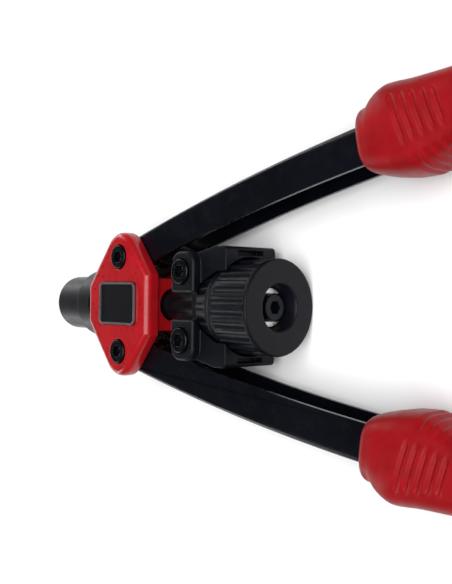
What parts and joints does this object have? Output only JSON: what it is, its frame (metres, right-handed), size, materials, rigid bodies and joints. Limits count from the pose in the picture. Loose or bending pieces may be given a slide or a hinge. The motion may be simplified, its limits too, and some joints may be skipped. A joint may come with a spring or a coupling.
{
  "type": "hand riveter",
  "caption": "Two-handed lever tool that sets rivet nuts: long gripped arms drive a crosshead through toggle links, with a spin knob for the threaded mandrel.",
  "frame": {"origin": "centre of the head casting's flat back face, straight below the point where the tool's axis crosses the line through the two arm pivots", "axes": "+X along the tool's axis from the nose towards the knob and grips, +Z out of the badge side, +Y towards the upper arm"},
  "size_m": [0.3621, 0.1868, 0.047],
  "materials": {
    "head_enamel": "glossy stoved enamel on a die casting",
    "badge": "satin black plate with a silver rim",
    "bronze": "plain bearing bronze, machined",
    "blackened_steel": "turned and blackened, satin",
    "fastener_steel": "black oxide, lightly oiled",
    "arm_paint": "smooth glossy black paint",
    "grip_plastic": "soft gloss moulded plastic",
    "black_casting": "fine satin black coating on a casting",
    "knob_plastic": "matte moulded nylon",
    "zinc_steel": "bright zinc plate"
  },
  "bodies": {
    "head": {"head_casting": "head_enamel", "badge_plate": "badge", "guide_bush": "bronze", "nose_housing": "blackened_steel", "nose_lock_ring": "blackened_steel", "upper_pivot_bolt": "fastener_steel", "lower_pivot_bolt": "fastener_steel", "upper_pivot_nut": "fastener_steel", "lower_pivot_nut": "fastener_steel"},
    "nosepiece": {"nosepiece": "blackened_steel"},
    "upper_arm": {"upper_arm": "arm_paint", "upper_grip": "grip_plastic", "upper_crank_pin": "fastener_steel", "upper_front_bush": "bronze", "upper_back_bush": "bronze"},
    "lower_arm": {"lower_arm": "arm_paint", "lower_grip": "grip_plastic", "lower_crank_pin": "fastener_steel", "lower_front_bush": "bronze", "lower_back_bush": "bronze"},
    "crosshead": {"crosshead": "black_casting", "guide_tube": "blackened_steel", "upper_link_bolt": "fastener_steel", "lower_link_bolt": "fastener_steel", "upper_link_nut": "fastener_steel", "lower_link_nut": "fastener_steel", "bearing_front_race": "zinc_steel", "bearing_ball_cage": "zinc_steel", "core_retaining_ring": "zinc_steel"},
    "upper_link": {"upper_link": "fastener_steel"},
    "lower_link": {"lower_link": "fastener_steel"},
    "knob": {"knob_shell": "knob_plastic", "drive_core": "zinc_steel", "bearing_rear_race": "zinc_steel", "mandrel": "blackened_steel"}
  },
  "joints": [
    {"name": "upper_arm_hinge", "type": "hinge", "parent": "head", "child": "upper_arm", "pos_m": [0, 0.0256, 0.0205], "axis": [0, 0, 1], "range_deg": [-1.5, 37]},
    {"name": "lower_arm_hinge", "type": "hinge", "parent": "head", "child": "lower_arm", "pos_m": [0, -0.0256, 0.0205], "axis": [0, 0, 1], "range_deg": [-37, 1.5]},
    {"name": "crosshead_slide", "type": "slide", "parent": "head", "child": "crosshead", "axis": [1, 0, 0], "range_m": [-0.0066, 0.00028]},
    {"name": "upper_link_hinge", "type": "hinge", "parent": "crosshead", "child": "upper_link", "pos_m": [0.0541, 0.0171, 0.0205], "axis": [0, 0, 1], "range_deg": [-4.5, 0.5]},
    {"name": "lower_link_hinge", "type": "hinge", "parent": "crosshead", "child": "lower_link", "pos_m": [0.0541, -0.0171, 0.0205], "axis": [0, 0, 1], "range_deg": [-0.5, 5.5]},
    {"name": "knob_spin", "type": "hinge", "parent": "crosshead", "child": "knob", "pos_m": [0.09, 0, 0.0205], "axis": [1, 0, 0], "continuous": true},
    {"name": "nosepiece_turn", "type": "hinge", "parent": "head", "child": "nosepiece", "pos_m": [-0.072, 0, 0.0205], "axis": [1, 0, 0], "continuous": true}
  ],
  "couplings": [
    {"joint": "lower_arm_hinge", "follows": "upper_arm_hinge", "ratio": -1},
    {"joint": "crosshead_slide", "follows": "upper_arm_hinge", "m_per_rad": -0.010168},
    {"joint": "upper_link_hinge", "follows": "upper_arm_hinge", "ratio": -0.10724},
    {"joint": "lower_link_hinge", "follows": "upper_arm_hinge", "ratio": 0.12507}
  ]
}
